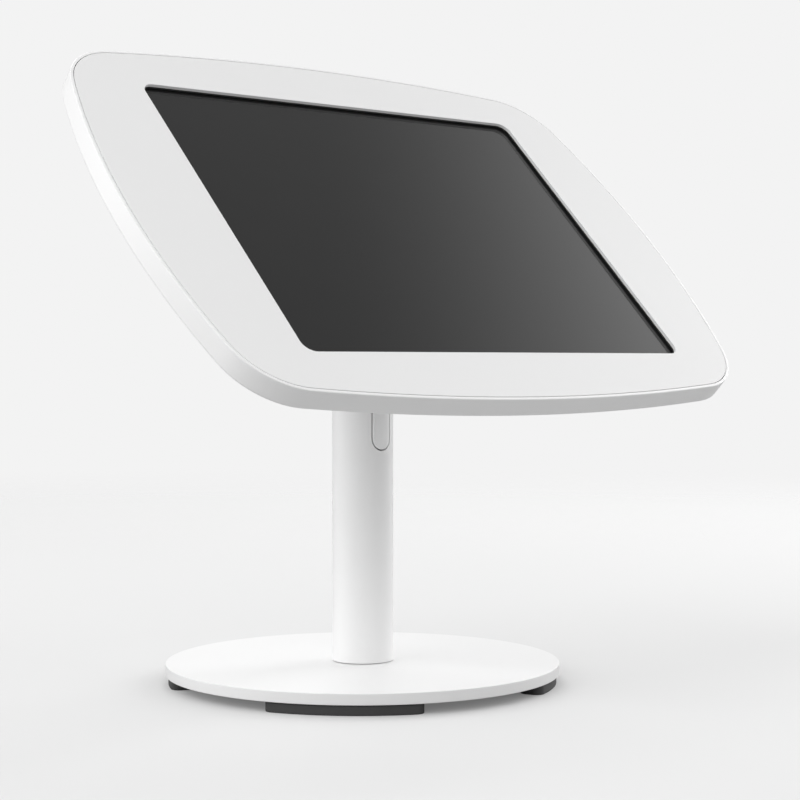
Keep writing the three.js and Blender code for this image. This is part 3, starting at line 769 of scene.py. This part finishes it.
def headed(levels, key, key_depth, edge):
    """Rings at (radius, height) levels from the face at 0 down, with a recess of the key's outline."""
    bm = bmesh.new()
    rings = [ring(bm, circle(radius, len(key)), height) for radius, height in levels]
    key_low, key_high = ring(bm, key, -key_depth), ring(bm, key, 0)
    bridge(bm, key_low, key_high, *rings)
    bmesh.ops.contextual_create(bm, geom=edges_within(key_low))
    bmesh.ops.contextual_create(bm, geom=edges_within(rings[-1]))
    bevel(bm, edges_within(rings[0]), edge * 2, 4)
    soften(bm, edge)
    return bm


def socket_screw(head, height, shank, length):
    levels = [(head, 0), (head, -height), (shank, -height), (shank, -height - length)]
    return headed(levels, hexagon(shank * 0.75, 6), height * 0.6, head * 0.045)


def countersunk_screw(head, height, shank, length):
    levels = [(head, 0), (shank, -height), (shank, -height - length)]
    return headed(levels, hexagon(shank * 0.75, 6), height * 0.7, head * 0.03)


# %% Screws and grommet in the tube
for place_name, height in zip(("lower", "upper"), SCREW_HEIGHTS):
    board = stand_board @ at(0, TUBE_RADIUS - 0.1, height) @ TURNS["+Y"]
    screw = countersunk_screw(4, 2.2, 2, 7)
    finished(
        f"neck_screw_{place_name}_head", screw, board, "column", "screw_steel",
        f"neck_screw_{place_name}",
    )

board = stand_board @ at(0, TUBE_RADIUS - 0.2, STOP_HEIGHT) @ TURNS["+Y"]
finished("stop_set_screw", socket_screw(1.7, 1, 1.6, 1.9), board, "column", "screw_steel", "stop_screw")

# %% [markdown]
# The grommet that guards the lead's exit is turned flat, like any grommet, and then laid back onto
# the tube: each point moves in by as much as the round wall falls away beside the middle.

# %% Column grommet
GROMMET_SLEEVE, GROMMET_FLANGE, GROMMET_BORE = 4.7, 6.4, 4
FLANGE_LOW, FLANGE_HIGH = 2.6, 3.8
grommet_profile = [
    (GROMMET_BORE, 0), (GROMMET_SLEEVE, 0), (GROMMET_SLEEVE, FLANGE_LOW),
    (GROMMET_FLANGE, FLANGE_LOW), (GROMMET_FLANGE, FLANGE_HIGH), (GROMMET_BORE, FLANGE_HIGH),
]
grommet = turned(grommet_profile, 0.35, 48)
for vert in grommet.verts:
    vert.co.z -= TUBE_RADIUS - math.sqrt(TUBE_RADIUS**2 - vert.co.x**2)
board = stand_board @ at(0, TUBE_RADIUS - 2.2, CABLE_HEIGHT) @ TURNS["+Y"]
finished("tube_grommet", grommet, board, "column", "grommet_rubber", "column_grommet")

# %% [markdown]
# ## The friction hinge
# A flat bracket is screwed to the enclosure, with two cheeks that straddle the neck's lug. A bolt
# squeezes lug, bronze washers and cheeks together through a dished spring, and that friction holds
# the screen at any angle.

# %% Head bracket
BRACKET_WIDE, BRACKET_HIGH, BRACKET_FRONT, BRACKET_BACK = 60, 44, -16.8, -19.6
BRACKET_SCREWS = [(-23, -15), (23, -15), (23, 15), (-23, 15)]
CHEEK_RADIUS, CHEEK_ROOT = 10, 15
WASHER = 1
CHEEK_INNER = LUG_HALF + WASHER + 0.4
CHEEK_OUTER = CHEEK_INNER + 4


def hole(radius, x, y, segments=24):
    return lambda grow: circle(radius + grow, segments, x, y)


def bracket_flat(inset):
    return rectangle(BRACKET_WIDE - 2 * inset, BRACKET_HIGH - 2 * inset, 6 - inset)


bracket = bmesh.new()
bracket_holes = [hole(2.4, x, y) for x, y in BRACKET_SCREWS]
slab(bracket, [bracket_flat] + bracket_holes, BRACKET_BACK, BRACKET_FRONT, 0.35)
cheek = arc(0, -HINGE_DEPTH, CHEEK_RADIUS, math.pi, math.tau, 28)
cheek = [(-CHEEK_ROOT, BRACKET_BACK + 1)] + cheek + [(CHEEK_ROOT, BRACKET_BACK + 1)]
for low in (CHEEK_INNER, -CHEEK_OUTER):
    part = bmesh.new()
    prism(part, cheek, low, low + CHEEK_OUTER - CHEEK_INNER, 0.5)
    add_to(bracket, part, CROSSWISE)
finished("tilt_bracket", bracket, head_board, "head", "bracket_paint", "head_bracket")

# %% Bracket screws
CAP_HEIGHT = 2.4
for number, (x, y) in enumerate(BRACKET_SCREWS, 1):
    board = head_board @ at(x, y, BRACKET_BACK - 0.2 - CAP_HEIGHT) @ TURNS["-Z"]
    screw = socket_screw(4.2, CAP_HEIGHT, 2, 6.5)
    finished(
        f"bracket_cap_screw_{number}", screw, board, "head", "screw_steel",
        f"bracket_screw_{number}",
    )

# %% Hinge bolt, dished spring, nut and washers
BOLT_HEAD, BOLT_RADIUS = 4.5, 4
hinge_board = head_board @ at(0, 0, -HINGE_DEPTH)
bolt = socket_screw(6.5, BOLT_HEAD, BOLT_RADIUS, 2 * CHEEK_OUTER + 9)
board = hinge_board @ at(-CHEEK_OUTER - 0.3 - BOLT_HEAD, 0, 0) @ TURNS["-X"]
finished("tilt_bolt", bolt, board, "head", "screw_steel", "hinge_bolt")

spring = turned([(4.4, 0.9), (8.2, 0), (8.2, 0.8), (4.4, 1.7)], 0.12, 48)
board = hinge_board @ at(CHEEK_OUTER + 0.2, 0, 0) @ TURNS["+X"]
finished("dished_spring", spring, board, "head", "turned_steel", "hinge_spring")

nut = bmesh.new()
slab(nut, [lambda inset: hexagon(7.5 - inset * 1.15, 1), hole(4.2, 0, 0)], 0, 5.5, 0.4)
board = hinge_board @ at(CHEEK_OUTER + 2.2, 0, 0) @ TURNS["+X"]
finished("tilt_nut", nut, board, "head", "screw_steel", "hinge_nut")

for side_name, direction, side in (("left", "-X", -1), ("right", "+X", 1)):
    washer = turned([(4.3, 0), (8.5, 0), (8.5, WASHER), (4.3, WASHER)], 0.12, 48)
    board = stand_board @ at(side * (LUG_HALF + 0.2), hinge_at.y, hinge_at.z) @ TURNS[direction]
    finished(
        f"bronze_washer_{side_name}", washer, board, "column", "bronze_washer",
        f"friction_washer_{side_name}",
    )

# %% [markdown]
# ## The enclosure
# The rear casing is one tray. Going round its wall from outside to inside, the section is a row of
# levels: the pan's flat back, its slope, the side wall, the thin rim, and the ledge that the
# faceplate sits on. Each level is the same outline drawn in by its own amount, and bridging them in
# turn makes the tray. The rim's outer edge is rounded by half a millimetre, which catches the light
# as one thin line all round.

# %% Rear casing
WALL_DEPTH, RIM, SIDE_WALL = 9.8, 1.4, 2
PAN_DEPTH, PAN_INSET, PAN_FLOOR = 16.5, 13, 14.6
LEDGE_TOP, LEDGE_LOW, LEDGE_INSET = 1.8, 4.5, 4.6
SHELL_HOLE, SHELL_HOLE_Y, SHELL_HOLE_BORE = 7.7, -38, 5.6
LOCK_X = 140
LOCK_BOSS, LOCK_HOLE = 9.4, 6.3


def rear_casing():
    bm = bmesh.new()

    def level(inset, depth):
        return ring(bm, enclosure(inset), -depth)

    back_land = level(PAN_INSET + 5, PAN_DEPTH)
    back_edge = level(PAN_INSET, PAN_DEPTH)
    wall_foot = level(0, WALL_DEPTH)
    rim_outer, rim_inner = level(0, 0), level(RIM, 0)
    ledge = [level(RIM, LEDGE_TOP), level(LEDGE_INSET, LEDGE_TOP), level(LEDGE_INSET, LEDGE_LOW)]
    room = [
        level(SIDE_WALL, LEDGE_LOW), level(SIDE_WALL, WALL_DEPTH - 1.4),
        level(PAN_INSET + 1.5, PAN_FLOOR),
    ]
    bridge(bm, back_land, back_edge, wall_foot, rim_outer, rim_inner, *ledge, *room)
    bevel(bm, edges_within(rim_outer), 0.5, 4)
    bevel(bm, edges_within(rim_inner), 0.15, 2)
    bevel(bm, edges_within(wall_foot), 0.8, 4)
    bevel(bm, edges_within(back_edge), 3, 5)
    holes = [circle(2.3, 24, x, y) for x, y in BRACKET_SCREWS]
    holes += [circle(SHELL_HOLE, 48, 0, SHELL_HOLE_Y)]
    outside, inside = edges_within(back_land), edges_within(room[-1])
    for outline in holes:
        outer, inner = ring(bm, outline, -PAN_DEPTH), ring(bm, outline, -PAN_FLOOR)
        outside += edges_within(outer)
        inside += edges_within(inner)
        bridge(bm, outer, inner)
    bmesh.ops.triangle_fill(bm, use_beauty=True, use_dissolve=False, edges=outside)
    bmesh.ops.triangle_fill(bm, use_beauty=True, use_dissolve=False, edges=inside)
    boss_low, boss_high = -PAN_DEPTH, -WALL_DEPTH
    boss = turned(
        [(LOCK_HOLE, boss_low), (LOCK_BOSS, boss_low), (LOCK_BOSS, boss_high), (LOCK_HOLE, boss_high)],
        0.6, 64,
    )
    add_to(bm, boss, at(LOCK_X, 0, 0))
    return bm


finished("rear_casing", rear_casing(), head_board, "head", "shell_paint", "rear_shell")

# %% [markdown]
# The faceplate drops into the rim with three tenths of a millimetre to spare, and that hairline gap
# is what shows it to be a separate piece. Behind it are the black mask, whose opening is the same
# window, and the cover glass of the tablet. The step down to the glass shows along the window's
# far edges.

# %% Faceplate, mask and glass
PLATE_INSET = RIM + 0.3
WINDOW_WIDE, WINDOW_HIGH, WINDOW_CORNER, WINDOW_SHIFT = 215.9, 163.1, 5.8, 1.2
MASK_WIDE, MASK_HIGH, MASK_BACK, MASK_FRONT = 246, 170, -2.3, -1.8
GLASS_WIDE, GLASS_HIGH, GLASS_BACK, GLASS_FRONT = 247.6, 171.1, -4.6, -2.6
TABLET_CORNER = 8


def window(grow):
    wide, high = WINDOW_WIDE + 2 * grow, WINDOW_HIGH + 2 * grow
    return rectangle(wide, high, WINDOW_CORNER + grow, 12, WINDOW_SHIFT)


def block(wide, high, corner):
    return lambda inset: rectangle(wide - 2 * inset, high - 2 * inset, corner - inset, 10)


faceplate = bmesh.new()
slab(faceplate, [lambda inset: enclosure(PLATE_INSET + inset), window], -PLATE_THICKNESS, 0, 0.15)
finished("front_faceplate", faceplate, head_board, "head", "faceplate_paint", "faceplate")

mask = bmesh.new()
slab(mask, [block(MASK_WIDE, MASK_HIGH, TABLET_CORNER), window], MASK_BACK, MASK_FRONT, 0.1)
finished("black_window_mask", mask, head_board, "head", "black_mask", "mask_frame")

glass = bmesh.new()
slab(glass, [block(GLASS_WIDE, GLASS_HIGH, TABLET_CORNER)], GLASS_BACK, GLASS_FRONT, 0.2)
finished("cover_glass", glass, head_board, "head", "screen_glass", "display_glass")

# %% Shell grommet
flange, sleeve, lip = SHELL_HOLE + 1.6, SHELL_HOLE - 0.3, 0.9
outer, inner = -PAN_DEPTH - 0.2, -PAN_FLOOR + 0.2
shell_grommet = turned(
    [(SHELL_HOLE_BORE, outer - lip), (flange, outer - lip), (flange, outer), (sleeve, outer),
     (sleeve, inner), (flange, inner), (flange, inner + lip), (SHELL_HOLE_BORE, inner + lip)],
    0.3, 64,
)
board = head_board @ at(0, SHELL_HOLE_Y, 0)
finished("casing_grommet", shell_grommet, board, "head", "grommet_rubber", "shell_grommet")

# %% [markdown]
# ## The lock
# A small cam lock holds the faceplate shut. Its body is a plated ring, and its barrel is a plug with
# a keyway, made by the same stack of rings as the screws, with a slim slot in place of the hexagon.

# %% Lock body and barrel
LOCK_FACE, LOCK_BARREL, LOCK_END = -18.3, 4.2, -7.9
LOCK_FLANGE, LOCK_STEM, LOCK_SHOULDER = 8, 6, -16.8
LOCK_BORE = LOCK_BARREL + 0.15
lock_profile = [
    (LOCK_BORE, LOCK_FACE), (LOCK_FLANGE, LOCK_FACE), (LOCK_FLANGE, LOCK_SHOULDER),
    (LOCK_STEM, LOCK_SHOULDER), (LOCK_STEM, LOCK_END), (LOCK_BORE, LOCK_END),
]
finished(
    "lock_ring", turned(lock_profile, 0.35, 72), head_board @ at(LOCK_X, 0, 0), "head",
    "lock_chrome", "lock_body",
)
barrel_face = LOCK_FACE + 0.2
barrel_long = LOCK_END - barrel_face
barrel = headed(
    [(LOCK_BARREL, 0), (LOCK_BARREL, -barrel_long), (2, -barrel_long), (2, -barrel_long - 2)],
    rectangle(1, 5.6, 0.35, 8), 4, 0.12,
)
board = head_board @ at(LOCK_X, 0, barrel_face) @ TURNS["-Z"]
finished("key_barrel", barrel, board, "lock", "lock_brass", "lock_barrel")

# %% [markdown]
# ## What is never seen
# The pieces inside keep the plain solids of the frame, because their shapes are already right. Each
# still gets the finish that its slot in the record names.

# %% Finishes for the frame's own nodes
slot_of = {part["node"]: part["material_slot"] for part in frame["record"]["subparts"]}
for node_name, node in frame["nodes"].items():
    node.material_slots[0].material = finishes[slot_of[node_name]]
print("finished", len(made_pieces), "new pieces and", len(frame["nodes"]), "frame nodes")

# %% [markdown]
# ## The studio
# A pale floor fades out with distance into an equally pale surround, so no horizon shows. It looks
# paler than it reflects, so that the undersides keep some shade. The light is soft: a dim surround
# from everywhere, and large panels that give the white paint its shape.

# %% Floor
FLOOR_RADIUS, FADE_START, FADE_END = 6.0, 0.4, 1.8
FLOOR_TONE, FLOOR_SEEN_TONE, FLOOR_GLOW = 0.40, 0.60, 0.13
SURROUND = 0.896


def studio_floor():
    paint = Recipe("studio_floor")
    to_camera = paint.node("ShaderNodeLightPath", output="Is Camera Ray")
    paint.set(
        Base_Color=paint.colours(to_camera, grey(FLOOR_TONE), grey(FLOOR_SEEN_TONE)),
        Roughness=0.9,
        Emission_Color=paint.colours(to_camera, grey(0), grey(1)),
        Emission_Strength=FLOOR_GLOW,
    )
    away = paint.node("ShaderNodeVectorMath", {"operation": "LENGTH"}, {0: paint.place}, 1)
    fade = paint.node(
        "ShaderNodeMapRange", {"interpolation_type": "SMOOTHSTEP"},
        {"Value": away, "From Min": FADE_START, "From Max": FADE_END},
    )
    clear = paint.node("ShaderNodeBsdfTransparent")
    both = paint.node("ShaderNodeMixShader", None, {0: fade})
    tree = paint.tree
    mix = both.socket.node
    tree.links.new(paint.shader.outputs[0], mix.inputs[1])
    tree.links.new(clear.socket, mix.inputs[2])
    tree.links.new(both.socket, tree.nodes["Material Output"].inputs["Surface"])
    return paint.material


bm = bmesh.new()
bmesh.ops.create_circle(bm, cap_ends=True, segments=128, radius=FLOOR_RADIUS)
floor_mesh = bpy.data.meshes.new("floor")
bm.to_mesh(floor_mesh)
bm.free()
floor_mesh.materials.append(studio_floor())
floor = bpy.data.objects.new("floor", floor_mesh)
bpy.context.scene.collection.objects.link(floor)

# %% Surround
SURROUND_LIGHT = 0.38
world = bpy.data.worlds.new("studio")
bpy.context.scene.world = world
world.use_nodes = True
tree = world.node_tree
seen = tree.nodes["Background"]
seen.inputs["Color"].default_value = (1, 1, 1, 1)
seen.inputs["Strength"].default_value = SURROUND
lit = tree.nodes.new("ShaderNodeBackground")
lit.inputs["Color"].default_value = (1, 1, 1, 1)
lit.inputs["Strength"].default_value = SURROUND_LIGHT
path = tree.nodes.new("ShaderNodeLightPath")
choice = tree.nodes.new("ShaderNodeMixShader")
tree.links.new(path.outputs["Is Camera Ray"], choice.inputs[0])
tree.links.new(lit.outputs[0], choice.inputs[1])
tree.links.new(seen.outputs[0], choice.inputs[2])
tree.links.new(choice.outputs[0], tree.nodes["World Output"].inputs["Surface"])

# %% Light panels
AIM = Vector((0, -0.02, 0.12))
PANEL_SIZE, PANEL_AWAY = 1.4, 2.2


def towards(azimuth, height):
    """A direction, from its angle round from +X and its angle above the floor, in degrees."""
    round_by, up_by = math.radians(azimuth), math.radians(height)
    level = math.cos(up_by)
    return Vector((level * math.cos(round_by), level * math.sin(round_by), math.sin(up_by)))


def panel(name, azimuth, height, watts):
    light = bpy.data.lights.new(name, "AREA")
    light.shape = "SQUARE"
    light.size = PANEL_SIZE
    light.energy = watts
    lamp = bpy.data.objects.new(name, light)
    bpy.context.scene.collection.objects.link(lamp)
    way = towards(azimuth, height)
    lamp.location = AIM + way * PANEL_AWAY
    lamp.rotation_euler = way.to_track_quat("Z", "Y").to_euler()
    lamp.visible_camera = False


panel("right low", 0, 20, 25)
panel("back right low", 45, 20, 4)
panel("back left low", 135, 20, 16)
panel("left low", 185, 20, 8)
panel("front left low", 225, 20, 9)
panel("front right low", 315, 20, 7.5)
panel("back right high", 68, 48, 9)
panel("left high", 180, 50, 12)
panel("front high", 270, 50, 4)

# %% [markdown]
# What the screen mirrors is above and to the right of it: a card that is dark at its top and grows
# brighter downwards, which is why the glass looks darker on the left than on the right.

# %% The card that the screen mirrors
CARD_WIDE, CARD_LOW, CARD_HIGH, CARD_AWAY = 1.2, -0.35, 0.25, 2.0
CARD_GROWTH, CARD_POWER, CARD_DIM, CARD_LIGHT = 0.47, 1.7, 0.27, 1.43
CARD_ROUND, CARD_UP = 5, 47


def card_light():
    card = Recipe("mirrored_card")
    height = card.node("ShaderNodeSeparateXYZ", None, {0: card.place}, "Y")
    growth = card.node(
        "ShaderNodeMath", {"operation": "MULTIPLY", "use_clamp": True},
        {0: CARD_HIGH - height, 1: 1 / CARD_GROWTH},
    )
    growth = card.node("ShaderNodeMath", {"operation": "POWER"}, {0: growth, 1: CARD_POWER})
    card.set(
        Base_Color=(0, 0, 0, 1),
        Roughness=1.0,
        Specular_IOR_Level=0.0,
        Emission_Color=card.colours(growth, grey(CARD_DIM), grey(1)),
        Emission_Strength=CARD_LIGHT,
    )
    return card.material


bm = bmesh.new()
corners = [
    (-CARD_WIDE / 2, CARD_LOW), (CARD_WIDE / 2, CARD_LOW),
    (CARD_WIDE / 2, CARD_HIGH), (-CARD_WIDE / 2, CARD_HIGH),
]
bmesh.ops.contextual_create(bm, geom=[bm.verts.new((x, y, 0)) for x, y in corners])
card_mesh = bpy.data.meshes.new("mirrored_card")
bm.to_mesh(card_mesh)
bm.free()
card_mesh.materials.append(card_light())
card = bpy.data.objects.new("mirrored_card", card_mesh)
bpy.context.scene.collection.objects.link(card)
way = towards(CARD_ROUND, CARD_UP)
card.location = AIM + way * CARD_AWAY
card.rotation_euler = way.to_track_quat("Z", "Y").to_euler()
card.visible_camera = False

# %% [markdown]
# ## The camera
# An 85 mm lens from about 0.9 m, a little above the column's middle and turned 41 degrees to the
# left of the screen, is close to how a catalogue shows such a stand: it keeps uprights upright.

# %% Camera
camera_data = bpy.data.cameras.new("camera")
camera_data.lens, camera_data.sensor_width = 85, 36
camera = bpy.data.objects.new("camera", camera_data)
bpy.context.scene.collection.objects.link(camera)
camera.location = (-0.5507, -0.6672, 0.1453)
LOOK_DOWN, LOOK_ROUND = 1.095, -40.669
camera.rotation_euler = (math.radians(90 - LOOK_DOWN), 0, math.radians(LOOK_ROUND))
bpy.context.scene.camera = camera
bpy.context.scene.view_settings.view_transform = "Standard"
